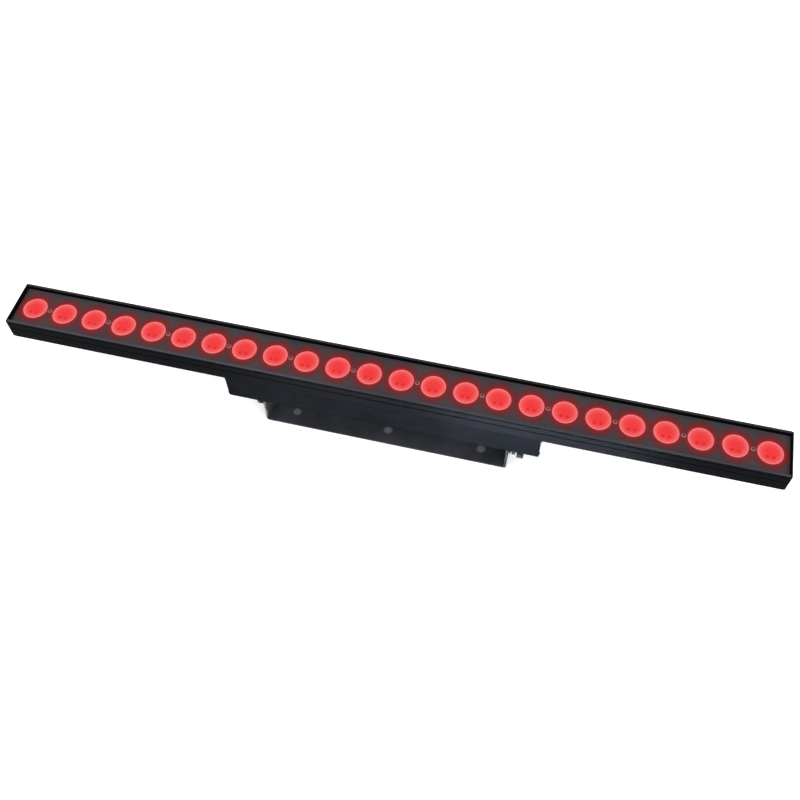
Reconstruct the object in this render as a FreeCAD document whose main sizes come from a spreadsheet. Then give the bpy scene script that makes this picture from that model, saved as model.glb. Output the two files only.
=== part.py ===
import FreeCAD, Part
import math
import os
import re
import Sketcher

# LED strip batten: a one metre bar of 24 lenses with a driver box under its
# middle, hung in a flat U-shaped yoke that it tilts in.  Millimetres.
# +X runs along the bar, +Z points up out of the lenses, and the yoke's arms
# stand at the two ends of its base.  The origin is the middle of the yoke's
# underside, on the axis of its centre hole.

PARTS_FOLDER = "parts"
os.makedirs(PARTS_FOLDER, exist_ok=True)

SIZES = {
    # the bar
    "lens_count": 24, "lens_pitch": 41.45, "bar_length": 1003, "bar_width": 64,
    "bar_base": 107, "bar_depth": 32.8, "rim_height": 6.3, "rail_wall": 3.3,
    "end_plate": 2, "end_corner": 1.5, "deck_low": 117, "deck_thick": 3,
    "groove_width": 1.4, "groove_deep": 0.6, "groove_upper": 136, "groove_lower": 124.7,
    "duct_floor": 2.5,
    "ledge_wide": 2.5, "ledge_thick": 2.1, "port_block": 5.7, "port_inset": 6.3,
    "port_upper": 123.6, "port_lower": 113.2, "port_bore": 1.5, "cable_bore": 5,
    # what lies in the bar
    "face_thick": 1.5, "face_gap": 0.1, "lens_radius": 15.65, "lens_hole": 15.75,
    "lens_flange": 17, "lens_foot": 7, "board_thick": 1.6, "board_width": 40,
    "board_gap": 6, "emitter_side": 5, "dome_radius": 2.3,
    # the driver box
    "box_length": 413, "box_depth": 40, "box_wall": 2, "rib_wide": 6, "rib_tall": 4.8,
    "corner_wide": 4.2, "corner_tall": 4.5, "box_port_y": 29.1, "box_port_low": 4.2,
    "box_port_top": 3, "cover_screw_y": 26.8, "fixing_reach": 170, "fixing_y": 15,
    "cover_reach": 190, "cover_inner": 65,
    # control panel and buttons
    "panel_length": 88, "panel_tall": 22.9, "panel_low": 76.5, "panel_thick": 2,
    "window_length": 80, "window_tall": 20, "window_low": 78, "button_radius": 3.5,
    "button_gap": 0.08, "button_level": 88, "button_start": -6, "button_step": -10,
    "button_face": 31.8, "button_back": 25.7, "collar_back": 26.4, "collar_wide": 0.9,
    "display_left": 3, "display_long": 34, "display_low": 80, "display_tall": 16,
    "display_face": 29.2, "control_back": 19.8, "control_front": 21.4, "control_half": 43.5,
    "panel_post": 2, "panel_post_x": 40.8, "panel_post_inset": 3.2, "switch_half": 3,
    "switch_front": 24.2, "switch_tip": 0.8, "switch_tip_radius": 1.7,
    # sockets
    "socket_y": 13.8, "socket_z": 87.5, "socket_wide": 26, "socket_tall": 31,
    "socket_flange": 2, "socket_corner": 3, "barrel_radius": 11.8, "barrel_deep": 22,
    "barrel_hole": 12, "socket_screw_y": 9.5, "socket_screw_z": 12,
    "power_recess": 10, "power_deep": 14, "power_post": 4.5, "pin_recess": 9.5,
    "pin_deep": 14, "pin_long": 12, "pin_radius": 1.2, "pin_circle": 5,
    "contact_recess": 9.6, "contact_core": 7.9, "contact_deep": 12,
    "contact_radius": 1.3, "latch_low": 10.5, "latch_tall": 3.8, "latch_half": 3.5,
    "latch_back": 0.9, "latch_proud": 1.2, "latch_gap": 0.1,
    # boards and leads in the box
    "supply_left": -140, "supply_right": -55, "supply_half": 22, "supply_tall": 22,
    "driver_left": 62, "driver_right": 142, "driver_half": 21, "feet_tall": 4,
    "feet_inset": 5, "feet_radius": 2.5, "sink_left": 80, "sink_right": 110,
    "sink_half": 18, "sink_base": 3, "fin_tall": 7, "fin_thick": 2, "fin_step": 6.8,
    "mains_lead": 2.5, "supply_lead": 1.8, "data_lead": 1.5, "signal_lead": 1.2,
    "mains_level": 88, "supply_level": 80, "data_level": 95, "signal_level": 82,
    "signal_y": 16, "supply_lead_y": 8, "lead_bend": 12,
    # the yoke and what clamps it
    "yoke_length": 334, "yoke_width": 41.5, "yoke_thick": 3, "yoke_bend": 1,
    "pivot_level": 41.5, "bolt_radius": 4, "bolt_end": 185, "running_gap": 0.08,
    "clamp_hole": 6.5, "clamp_spacing": 129.5, "washer_gap": 0.1, "washer_radius": 16,
    "washer_thick": 1, "lug_thick": 2, "lug_half": 18, "lug_corner": 17.5,
    "lug_foot": 148, "lug_bolt_x": 154, "lug_bolt_y": 12, "lug_bolt_hole": 2.6,
    "lug_bolt": 2.5, "lug_bolt_long": 10, "lug_bolt_head": 4.4, "lug_bolt_rise": 2.8,
    "lug_nut": 4.6, "lug_nut_thick": 4,
    "knob_start": 171.5, "knob_disc": 18.4, "knob_disc_thick": 5, "knob_boss": 10,
    "knob_stem": 6.8, "flute_radius": 2.2, "flute_reach": 19.6,
    "wing_half": 6.5, "wing_reach": 15, "wing_thick": 9.2, "wing_round": 1.5,
    # screws
    "screw_radius": 1.45, "screw_head": 2.6, "screw_rise": 1.2, "screw_long": 8,
    "screw_hole": 1.5,
}

DERIVED = {
    "half_width": "bar_width / 2",
    "half_bar": "bar_length / 2",
    "half_rail": "bar_length / 2 - end_plate",
    "rim_top": "bar_base + bar_depth",
    "face_level": "bar_base + bar_depth - rim_height",
    "face_low": "bar_base + bar_depth - rim_height - face_thick",
    "inner_wall": "bar_width / 2 - rail_wall",
    "deck_top": "deck_low + deck_thick",
    "board_top": "deck_low + deck_thick + board_thick",
    "port_side": "bar_width / 2 - port_inset",
    "box_base": "bar_base - box_depth",
    "half_box": "box_length / 2",
    "half_housing": "box_length / 2 - box_wall",
    "box_inner": "bar_width / 2 - box_wall",
    "box_roof": "bar_base - box_wall",
    "cover_top": "bar_base - box_depth + box_wall",
    "arm_outer": "yoke_length / 2",
    "arm_inner": "yoke_length / 2 - yoke_thick",
    "lug_inner": "yoke_length / 2 + washer_gap + washer_thick",
    "lug_outer": "yoke_length / 2 + washer_gap + washer_thick + lug_thick",
    "lug_bottom": "pivot_level - lug_half",
    "first_lens": "-(lens_count - 1) / 2 * lens_pitch",
    "screw_step": "2 * lens_pitch",
}

doc = FreeCAD.newDocument("led_strip_batten")
sheet = doc.addObject("Spreadsheet::Sheet", "Sizes")
nodes = []


# ---------------------------------------------------------------- helpers

def fill_sheet():
    """One row for each driving size, then one for each size worked out from them."""
    row = 1
    for alias, size in SIZES.items():
        sheet.set("A%d" % row, alias)
        sheet.set("B%d" % row, str(size))
        sheet.setAlias("B%d" % row, alias)
        row += 1
    for alias, formula in DERIVED.items():
        sheet.set("A%d" % row, alias)
        sheet.set("B%d" % row, "=" + formula)
        sheet.setAlias("B%d" % row, alias)
        row += 1
    doc.recompute()


def linked(expression):
    """The expression with the sheet's name in front of each of its aliases."""
    def with_sheet(word):
        name = word.group(0)
        return "Sizes." + name if name in SIZES or name in DERIVED else name
    return re.sub(r"[a-z_]+", with_sheet, str(expression))


def value(expression):
    """The number that an expression of the sheet's sizes comes to, in millimetres."""
    return float(sheet.evalExpression(str(expression)))


def bind(thing, prop, expression):
    thing.setExpression(prop, linked(expression))


def place(thing, x=0, y=0, z=0, axis=(0, 0, 1), angle=0):
    """Puts a piece at a bound position, turned about an axis through its origin."""
    turn = FreeCAD.Rotation(FreeCAD.Vector(*axis), angle)
    thing.Placement = FreeCAD.Placement(FreeCAD.Vector(), turn)
    for letter, expression in zip("xyz", (x, y, z)):
        bind(thing, "Placement.Base." + letter, expression)


def node(thing, label):
    """Names a finished sub-part, which becomes a file of that name."""
    thing.Label = label
    nodes.append(thing)
    return thing


# primitives: each size and place is an expression of the sheet's sizes

TO_AXIS = {
    "+X": ((0, 1, 0), 90), "-X": ((0, 1, 0), -90),
    "+Y": ((1, 0, 0), -90), "-Y": ((1, 0, 0), 90),
    "+Z": ((0, 0, 1), 0), "-Z": ((1, 0, 0), 180),
}


def block(name, low, high):
    """A box from its lowest corner to its highest."""
    solid = doc.addObject("Part::Box", name)
    for prop, start, end in zip(("Length", "Width", "Height"), low, high):
        bind(solid, prop, "(%s) - (%s)" % (end, start))
    place(solid, *low)
    return solid


def rod(name, start, direction, radius, length):
    """A cylinder from a start point along one of the six directions."""
    solid = doc.addObject("Part::Cylinder", name)
    bind(solid, "Radius", radius)
    bind(solid, "Height", length)
    place(solid, *start, *TO_AXIS[direction])
    return solid


def cone(name, start, direction, radius, tip_radius, length):
    solid = doc.addObject("Part::Cone", name)
    bind(solid, "Radius1", radius)
    bind(solid, "Radius2", tip_radius)
    bind(solid, "Height", length)
    place(solid, *start, *TO_AXIS[direction])
    return solid


def fuse(name, solids):
    joined = doc.addObject("Part::MultiFuse", name)
    joined.Shapes = solids
    joined.Refine = True
    return joined


def group(name, solids):
    together = doc.addObject("Part::Compound", name)
    together.Links = solids
    return together


def cut(name, base, tools):
    result = doc.addObject("Part::Cut", name)
    result.Base = base
    result.Tool = tools[0] if len(tools) == 1 else group(name + "_tools", tools)
    result.Refine = True
    return result


def copies(name, master, places):
    """The same solid at several places: (x, y, z, direction that its +Z points in)."""
    links = []
    for x, y, z, direction in places:
        link = doc.addObject("App::Link", name + "_copy")
        link.LinkedObject = master
        place(link, x, y, z, *TO_AXIS[direction])
        links.append(link)
    return group(name, links)


def fillet(name, base, radius, wanted):
    """Rounds the edges that wanted(edge) picks out."""
    doc.recompute()
    size = value(radius)
    rounded = doc.addObject("Part::Fillet", name)
    rounded.Base = base
    picked = [i + 1 for i, edge in enumerate(base.Shape.Edges) if wanted(edge)]
    rounded.Edges = [(i, size, size) for i in picked]
    return rounded


def runs_along(edge, letter):
    """True for a straight edge parallel to the axis of that letter."""
    if edge.Curve.TypeId != "Part::GeomLine":
        return False
    return abs(getattr(edge.Curve.Direction, letter)) > 0.999


def at(number, expression):
    return abs(number - value(expression)) < 0.01


# PartDesign bodies: sketches whose every corner and circle is bound to the sheet

def new_body(label, **where):
    body = doc.addObject("PartDesign::Body", label)
    place(body, **where)
    return body


def new_sketch(body, plane, level=0):
    """A sketch on one of the body's own planes, raised along the plane's normal."""
    role = plane + "_Plane"
    support = [item for item in body.Origin.OriginFeatures if item.Role == role][0]
    sketch = body.newObject("Sketcher::SketchObject", body.Label + "_sketch")
    sketch.AttachmentSupport = (support, [""])
    sketch.MapMode = "FlatFace"
    bind(sketch, "AttachmentOffset.Base.z", level)
    return sketch


def pin_point(sketch, geometry, point, across, upward):
    """Holds a point of the sketch at two bound distances from its origin."""
    for kind, expression in (("DistanceX", across), ("DistanceY", upward)):
        distance = Sketcher.Constraint(kind, -1, 1, geometry, point, value(expression))
        index = sketch.addConstraint(distance)
        bind(sketch, "Constraints[%d]" % index, expression)


def outline(sketch, corners):
    """A closed loop of straight lines through bound corners."""
    first = sketch.GeometryCount
    count = len(corners)
    spots = [FreeCAD.Vector(value(across), value(upward), 0) for across, upward in corners]
    for i in range(count):
        sketch.addGeometry(Part.LineSegment(spots[i], spots[(i + 1) % count]))
    for i in range(count):
        following = first + (i + 1) % count
        sketch.addConstraint(Sketcher.Constraint("Coincident", first + i, 2, following, 1))
    for i, (across, upward) in enumerate(corners):
        pin_point(sketch, first + i, 1, across, upward)


def rectangle(sketch, left, right, low, high):
    outline(sketch, [(left, low), (right, low), (right, high), (left, high)])


def circle(sketch, across, upward, radius):
    centre = FreeCAD.Vector(value(across), value(upward), 0)
    index = sketch.addGeometry(Part.Circle(centre, FreeCAD.Vector(0, 0, 1), value(radius)))
    pin_point(sketch, index, 3, across, upward)
    size = sketch.addConstraint(Sketcher.Constraint("Radius", index, value(radius)))
    bind(sketch, "Constraints[%d]" % size, radius)


def pad(body, sketch, length, symmetric=False, backward=False):
    feature = body.newObject("PartDesign::Pad", body.Label + "_pad")
    feature.Profile = sketch
    feature.SideType = "Symmetric" if symmetric else "One side"
    feature.Reversed = backward
    bind(feature, "Length", length)
    return feature


def pocket(body, sketch, depth, backward=False):
    """Cuts the sketch's outline out of the body, and checks that it took something."""
    doc.recompute()
    before = body.Shape.Volume
    feature = body.newObject("PartDesign::Pocket", body.Label + "_pocket")
    feature.Profile = sketch
    feature.Reversed = backward
    bind(feature, "Length", depth)
    doc.recompute()
    if body.Shape.Volume > before - 0.01:
        raise RuntimeError("a pocket cut nothing from " + body.Label)
    return feature


def row_of(body, feature, sketch, count, step):
    """Repeats a feature along the sketch's horizontal axis."""
    pattern = body.newObject("PartDesign::LinearPattern", body.Label + "_row")
    pattern.Originals = [feature]
    pattern.Direction = (sketch, ["H_Axis"])
    bind(pattern, "Occurrences", count)
    bind(pattern, "Length", "((%s) - 1) * (%s)" % (count, step))
    body.Tip = pattern


def mirrored(half):
    """Both sides of an outline that is the same left and right of the centre line."""
    other = [("-(%s)" % across, upward) for across, upward in reversed(half)]
    return half + other


# ---------------------------------------------------------------- the screws

def screw(name, radius, length, head, rise):
    """A pan head screw with a cross recess: its head on z = 0, its shank below."""
    crown = "%s * 0.45" % rise
    head_side = rod(name + "_side", (0, 0, 0), "+Z", head, "%s - %s" % (rise, crown))
    head_top = cone(name + "_top", (0, 0, "%s - %s" % (rise, crown)), "+Z",
                    head, "%s * 0.72" % head, crown)
    shank = rod(name + "_shank", (0, 0, 0), "-Z", radius, length)
    solid = fuse(name + "_solid", [head_side, head_top, shank])
    reach = "%s * 0.5" % head
    half_slot = "%s * 0.11" % head
    floor = "%s * 0.45" % rise
    slots = [
        block(name + "_slot", ("-" + reach, "-" + half_slot, floor), (reach, half_slot, rise)),
        block(name + "_slot", ("-" + half_slot, "-" + reach, floor), (half_slot, reach, rise)),
    ]
    return cut(name, solid, slots)


def both(*sides):
    """Every combination of signs for the given expressions."""
    spots = [()]
    for side in sides:
        spots = [spot + (sign % side,) for spot in spots for sign in ("%s", "-(%s)")]
    return spots


def make_casing_screws():
    """The black screws of the end plates, the driver box and the sockets, all alike."""
    master = screw("casing_screw", "screw_radius", "screw_long", "screw_head", "screw_rise")
    places = []
    for sign, direction in (("", "+X"), ("-", "-X")):
        for y in ("port_side", "-port_side"):
            places += [(sign + "half_bar", y, z, direction) for z in ("port_upper", "port_lower")]
        for y in ("box_port_y", "-box_port_y"):
            places.append((sign + "half_box", y, "box_base + box_port_low", direction))
            places.append((sign + "half_box", y, "bar_base - box_port_top", direction))
        for centre in ("socket_y", "-socket_y"):
            face = sign + "(half_box + socket_flange)"
            low = (centre + " + socket_screw_y", "socket_z - socket_screw_z")
            top = (centre + " - socket_screw_y", "socket_z + socket_screw_z")
            places += [(face, y, z, direction) for y, z in (low, top)]
    for reach in ("cover_reach", "cover_inner"):
        places += [(x, y, "box_base", "-Z") for x, y in both(reach, "cover_screw_y")]
    places += [(x, y, "box_roof", "-Z") for x, y in both("fixing_reach", "fixing_y")]
    places += [(0, y, "box_roof", "-Z") for y in ("fixing_y", "-fixing_y")]
    node(copies("casing_screws", master, places), "casing_screws")


def make_face_screws():
    """Twelve bright screws that hold the face plate down to the deck."""
    length = "face_level - deck_low - 0.5"
    master = screw("face_screw", "screw_radius", length, "screw_head * 1.1", "screw_rise")
    start = "(first_lens + lens_pitch / 2)"
    places = [("%s + %d * screw_step" % (start, i), 0, "face_level", "+Z") for i in range(12)]
    node(copies("face_plate_screws", master, places), "face_plate_screws")


def make_board_screws():
    """The screws that hold the two LED boards to the deck, five to each board."""
    master = screw("board_screw", "screw_radius", "deck_thick + 1", "screw_head", "screw_rise")
    steps = [-5, -4, -3, -2, -1, 1, 2, 3, 4, 5]
    places = [("%d * screw_step" % i, 0, "board_top", "+Z") for i in steps]
    node(copies("led_board_screws", master, places), "led_board_screws")


# ---------------------------------------------------------------- the bar

def make_rail():
    """The extruded rail: side walls with two grooves, a closed wiring duct, a deck
    for the LED boards, ledges for the face plate and four ports for the end screws."""
    body = new_body("led_rail")
    half = [("half_width", "bar_base")]
    for groove in ("groove_lower", "groove_upper"):
        low = groove + " - groove_width / 2"
        high = groove + " + groove_width / 2"
        half += [("half_width", low), ("half_width - groove_deep", low),
                 ("half_width - groove_deep", high), ("half_width", high)]
    half += [
        ("half_width", "rim_top"), ("inner_wall", "rim_top"),
        ("inner_wall", "face_low"), ("inner_wall - ledge_wide", "face_low"),
        ("inner_wall - ledge_wide", "face_low - ledge_thick"),
        ("inner_wall", "face_low - ledge_thick"),
        ("inner_wall", "port_upper + 3.4"), ("inner_wall - port_block", "port_upper + 3.4"),
        ("inner_wall - port_block", "deck_top"),
    ]
    sketch = new_sketch(body, "YZ")
    outline(sketch, mirrored(half))
    duct_side = "inner_wall - port_block"
    rectangle(sketch, "-(%s)" % duct_side, duct_side, "bar_base + duct_floor", "deck_low")
    for y, in both("port_side"):
        for z in ("port_upper", "port_lower"):
            circle(sketch, y, z, "port_bore")
    pad(body, sketch, "2 * half_rail", symmetric=True)

    cable = new_sketch(body, "XY", "bar_base")
    circle(cable, 0, 0, "cable_bore")
    pocket(body, cable, "deck_top - bar_base", backward=True)
    fixings = new_sketch(body, "XY", "bar_base")
    for x, y in both("fixing_reach", "fixing_y"):
        circle(fixings, x, y, "screw_hole")
    for y, in both("fixing_y"):
        circle(fixings, 0, y, "screw_hole")
    pocket(body, fixings, "duct_floor", backward=True)
    for start, count in (("first_lens + lens_pitch / 2", 12), ("-5 * screw_step", 11)):
        hole = new_sketch(body, "XY", "deck_top")
        circle(hole, start, 0, "screw_hole")
        row_of(body, pocket(body, hole, "deck_thick"), hole, count, "screw_step")
    node(body, "led_rail")


def make_end_plate(label, turn):
    """A flat plate with small round corners that closes one end of the rail."""
    body = new_body(label, angle=turn)
    sketch = new_sketch(body, "YZ", "half_rail")
    rectangle(sketch, "-half_width", "half_width", "bar_base", "rim_top")
    for y, in both("port_side"):
        for z in ("port_upper", "port_lower"):
            circle(sketch, y, z, "screw_hole")
    plate = pad(body, sketch, "end_plate")
    doc.recompute()
    corners = body.newObject("PartDesign::Fillet", label + "_corners")
    edges = enumerate(plate.Shape.Edges)
    picked = ["Edge%d" % (i + 1) for i, edge in edges if runs_along(edge, "x")]
    corners.Base = (plate, picked)
    bind(corners, "Radius", "end_corner")
    node(body, label)


def make_face_plate():
    """The dark plate with a hole for each lens and one for each bright screw."""
    body = new_body("face_plate")
    sketch = new_sketch(body, "XY", "face_low")
    side = "inner_wall - face_gap"
    rectangle(sketch, "-(half_rail - face_gap)", "half_rail - face_gap", "-(%s)" % side, side)
    pad(body, sketch, "face_thick")
    lens = new_sketch(body, "XY", "face_level")
    circle(lens, "first_lens", 0, "lens_hole")
    row_of(body, pocket(body, lens, "face_thick"), lens, "lens_count", "lens_pitch")
    hole = new_sketch(body, "XY", "face_level")
    circle(hole, "first_lens + lens_pitch / 2", 0, "screw_hole")
    row_of(body, pocket(body, hole, "face_thick"), hole, 12, "screw_step")
    node(body, "face_plate")


def make_lens(number):
    """A conical collimator lens, hollow over its emitter, with a flange that the
    face plate holds down."""
    label = "lens_%02d" % number
    body = new_body(label, x="first_lens + %d * lens_pitch" % (number - 1))
    sketch = new_sketch(body, "XZ")
    outline(sketch, [
        (0, "board_top + 5.4"), (4, "board_top + 5.4"), (4, "board_top"),
        ("lens_foot", "board_top"), ("lens_radius - 0.5", "face_low - 2.5"),
        ("lens_flange", "face_low - 2.5"), ("lens_flange", "face_low"),
        ("lens_radius", "face_low"), ("lens_radius", "face_level - 0.4"),
        ("lens_radius - 0.4", "face_level"), (0, "face_level"),
    ])
    turned = body.newObject("PartDesign::Revolution", label + "_turned")
    turned.Profile = sketch
    turned.ReferenceAxis = (sketch, ["V_Axis"])
    turned.Angle = 360
    node(body, label)


def make_led_board(label, left, right, first_face_hole, first_board_hole):
    """One of the two long boards that carry twelve emitters each."""
    body = new_body(label)
    sketch = new_sketch(body, "XY", "deck_top")
    rectangle(sketch, left, right, "-board_width / 2", "board_width / 2")
    pad(body, sketch, "board_thick")
    for start, count in ((first_face_hole, 6), (first_board_hole, 5)):
        hole = new_sketch(body, "XY", "board_top")
        circle(hole, start, 0, "screw_hole + 0.2")
        row_of(body, pocket(body, hole, "board_thick"), hole, count, "screw_step")
    node(body, label)


def make_emitters():
    """The LED packages under the lenses: a square base with a round dome."""
    half = "emitter_side / 2"
    base = block("emitter_base", ("-" + half, "-" + half, 0), (half, half, 1))
    dome = doc.addObject("Part::Sphere", "emitter_dome")
    bind(dome, "Radius", "dome_radius")
    dome.Angle1 = 0
    place(dome, 0, 0, 1)
    master = fuse("emitter", [base, dome])
    count = int(value("lens_count"))
    places = [("first_lens + %d * lens_pitch" % i, 0, "board_top", "+Z") for i in range(count)]
    node(copies("led_emitters", master, places), "led_emitters")


# ---------------------------------------------------------------- the driver box

def make_housing():
    """An upside-down channel, flush with the bar, with ribs for the cover's screws,
    ports for the end plates' screws and a window for the controls on its +Y side."""
    body = new_body("driver_housing")
    half = [
        ("half_width", "bar_base"), ("half_width", "cover_top"),
        ("box_inner - rib_wide", "cover_top"), ("box_inner - rib_wide", "cover_top + rib_tall"),
        ("box_inner", "cover_top + rib_tall"), ("box_inner", "box_roof - corner_tall"),
        ("box_inner - corner_wide", "box_roof - corner_tall"),
        ("box_inner - corner_wide", "box_roof"),
    ]
    sketch = new_sketch(body, "YZ")
    outline(sketch, mirrored(half))
    for y, in both("box_port_y"):
        circle(sketch, y, "box_base + box_port_low", "port_bore")
        circle(sketch, y, "bar_base - box_port_top", "port_bore")
    pad(body, sketch, "2 * half_housing", symmetric=True)

    window = new_sketch(body, "XZ", "-half_width")
    rectangle(window, "-window_length / 2", "window_length / 2",
              "window_low", "window_low + window_tall")
    pocket(body, window, "box_wall", backward=True)
    roof = new_sketch(body, "XY", "bar_base")
    circle(roof, 0, 0, "cable_bore")
    for x, y in both("fixing_reach", "fixing_y"):
        circle(roof, x, y, "screw_hole")
    for y, in both("fixing_y"):
        circle(roof, 0, y, "screw_hole")
    pocket(body, roof, "box_wall")
    ribs = new_sketch(body, "XY", "cover_top")
    for reach in ("cover_reach", "cover_inner"):
        for x, y in both(reach, "cover_screw_y"):
            circle(ribs, x, y, "screw_hole")
    pocket(body, ribs, "rib_tall", backward=True)
    node(body, "driver_housing")


def make_cover():
    """The plate under the box, which the lugs are bolted to."""
    body = new_body("bottom_cover")
    sketch = new_sketch(body, "XY", "box_base")
    rectangle(sketch, "-half_housing", "half_housing", "-half_width", "half_width")
    for reach in ("cover_reach", "cover_inner"):
        for x, y in both(reach, "cover_screw_y"):
            circle(sketch, x, y, "screw_hole + 0.1")
    for x, y in both("lug_bolt_x", "lug_bolt_y"):
        circle(sketch, x, y, "lug_bolt_hole")
    pad(body, sketch, "box_wall")
    node(body, "bottom_cover")


def make_housing_end(label, turn):
    """The plate at one end of the box, with two round holes for its sockets."""
    body = new_body(label, angle=turn)
    sketch = new_sketch(body, "YZ", "half_housing")
    rectangle(sketch, "-half_width", "half_width", "box_base", "bar_base")
    for y, in both("box_port_y"):
        circle(sketch, y, "box_base + box_port_low", "screw_hole")
        circle(sketch, y, "bar_base - box_port_top", "screw_hole")
    for centre in ("socket_y", "-socket_y"):
        circle(sketch, centre, "socket_z", "barrel_hole")
        for side in ("+", "-"):
            across = centre + " %s socket_screw_y" % side
            if turn:
                upward = "socket_z %s socket_screw_z" % side
            else:
                upward = "socket_z %s socket_screw_z" % ("-" if side == "+" else "+")
            circle(sketch, across, upward, "screw_hole")
    pad(body, sketch, "box_wall")
    node(body, label)


def socket_shell(name, side, centre):
    """The flange and barrel that all four sockets have.  side is + or - along X."""
    sign = "" if side == "+" else "-"
    inner = sign + "half_box"
    outer = sign + "(half_box + socket_flange)"
    low, high = (inner, outer) if side == "+" else (outer, inner)
    half_wide = "socket_wide / 2"
    half_tall = "socket_tall / 2"
    flange = block(name + "_flange",
                   (low, "%s - %s" % (centre, half_wide), "socket_z - " + half_tall),
                   (high, "%s + %s" % (centre, half_wide), "socket_z + " + half_tall))
    flange = fillet(name + "_corners", flange, "socket_corner",
                    lambda edge: runs_along(edge, "x"))
    direction = "-X" if side == "+" else "+X"
    barrel = rod(name + "_barrel", (inner, centre, "socket_z"), direction,
                 "barrel_radius", "barrel_deep")
    holes = [rod(name + "_hole", (outer, "%s %s socket_screw_y" % (centre, across),
                                  "socket_z %s socket_screw_z" % upward),
                 direction, "screw_hole", "socket_flange") for across, upward in ("+-", "-+")]
    return fuse(name + "_shell", [flange, barrel]), holes, outer, direction


def make_power_socket(label, side, centre):
    """A round mains socket: a deep recess, and the post of contacts that stands in it."""
    shell, holes, outer, inward = socket_shell(label, side, centre)
    mouth = (outer, centre, "socket_z")
    recess = rod(label + "_recess", mouth, inward, "power_recess", "power_deep")
    body = cut(label + "_body", shell, holes + [recess])
    post = rod(label + "_post", mouth, inward, "power_post", "power_deep")
    node(group(label, [body, post]), label)


def on_pin_circle(centre, degrees):
    """Where a data contact stands: across and upward expressions."""
    across = "%s + pin_circle * cos(%d deg)" % (centre, degrees)
    upward = "socket_z + pin_circle * sin(%d deg)" % degrees
    return across, upward


def make_data_input(label, side, centre):
    """A three-pin male data socket: three pins standing in a round recess."""
    shell, holes, outer, inward = socket_shell(label, side, centre)
    recess = rod(label + "_recess", (outer, centre, "socket_z"), inward,
                 "pin_recess", "pin_deep")
    pieces = [cut(label + "_body", shell, holes + [recess])]
    foot = "-(half_box + socket_flange - pin_deep)"
    for degrees in (90, 210, 330):
        across, upward = on_pin_circle(centre, degrees)
        pieces.append(rod(label + "_pin", (foot, across, upward), "-X",
                          "pin_radius", "pin_long"))
    node(group(label, pieces), label)


def make_data_output(label, side, centre):
    """A three-hole female data socket, its core in a recess, and a slot for its latch."""
    shell, holes, outer, inward = socket_shell(label, side, centre)
    mouth = (outer, centre, "socket_z")
    recess = rod(label + "_recess", mouth, inward, "contact_recess", "contact_deep")
    slot_side = "latch_half + latch_gap"
    slot = block(label + "_slot",
                 ("half_box", "%s - (%s)" % (centre, slot_side),
                  "socket_z + latch_low - latch_gap"),
                 ("half_box + socket_flange", "%s + %s" % (centre, slot_side),
                  "socket_z + latch_low + latch_tall + latch_gap"))
    body = cut(label + "_body", shell, holes + [recess, slot])
    core = rod(label + "_core", mouth, inward, "contact_core", "contact_deep")
    contacts = []
    for degrees in (90, 210, 330):
        across, upward = on_pin_circle(centre, degrees)
        contacts.append(rod(label + "_contact", (outer, across, upward), inward,
                            "contact_radius", "contact_deep - 2"))
    node(group(label, [body, cut(label + "_holed_core", core, contacts)]), label)


def make_data_latch():
    """The push latch above the data output: it slides in to let a plug go."""
    face = "half_box + socket_flange"
    low = (face + " - latch_back", "socket_y - latch_half", "socket_z + latch_low")
    high = (face + " + latch_proud", "socket_y + latch_half",
            "socket_z + latch_low + latch_tall")
    node(fillet("data_latch", block("latch_block", low, high), 0.5,
                lambda edge: runs_along(edge, "x")), "data_latch")


# ---------------------------------------------------------------- inside the box

def make_power_supply():
    """The mains power supply in its own metal case."""
    case = block("supply_case", ("supply_left", "-supply_half", "cover_top"),
                 ("supply_right", "supply_half", "cover_top + supply_tall"))
    node(fillet("power_supply", case, 1, lambda edge: runs_along(edge, "x")), "power_supply")


def make_driver_board():
    """The LED driver: a board on four feet, with terminals, a heat sink, coils and
    capacitors."""
    top = "cover_top + feet_tall + board_thick"
    pieces = [block("driver_plate", ("driver_left", "-driver_half", "cover_top + feet_tall"),
                    ("driver_right", "driver_half", top))]
    for x in ("driver_left + feet_inset", "driver_right - feet_inset"):
        for y, in both("driver_half - 4"):
            pieces.append(rod("driver_foot", (x, y, "cover_top"), "+Z",
                              "feet_radius", "feet_tall"))
    # each plug's low and high Y, its length and its height above the board
    for low, high, long, tall in ((-4.5, 3.5, 8, 9.4), (4.5, 12, 8, 9.4), (13, 19.5, 6, 10.4)):
        pieces.append(block("driver_plug", ("driver_left", low, top),
                            ("driver_left + %s" % long, high, "%s + %s" % (top, tall))))
    fin_foot = top + " + sink_base"
    pieces.append(block("sink_base", ("sink_left", "-sink_half", top),
                        ("sink_right", "sink_half", fin_foot)))
    for i in range(6):
        side = "-sink_half + %d * fin_step" % i
        pieces.append(block("sink_fin", ("sink_left", side, fin_foot),
                            ("sink_right", side + " + fin_thick", fin_foot + " + fin_tall")))
    for y in (-15, -5, 5, 15):
        pieces.append(rod("coil", ("sink_right + 10", y, top), "+Z", 4.5, 7))
        pieces.append(rod("capacitor", ("driver_right - 11", y, top), "+Z", 4, 10))
    node(group("driver_board", pieces), "driver_board")


def button_x(number):
    return "button_start + %d * button_step" % number


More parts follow.
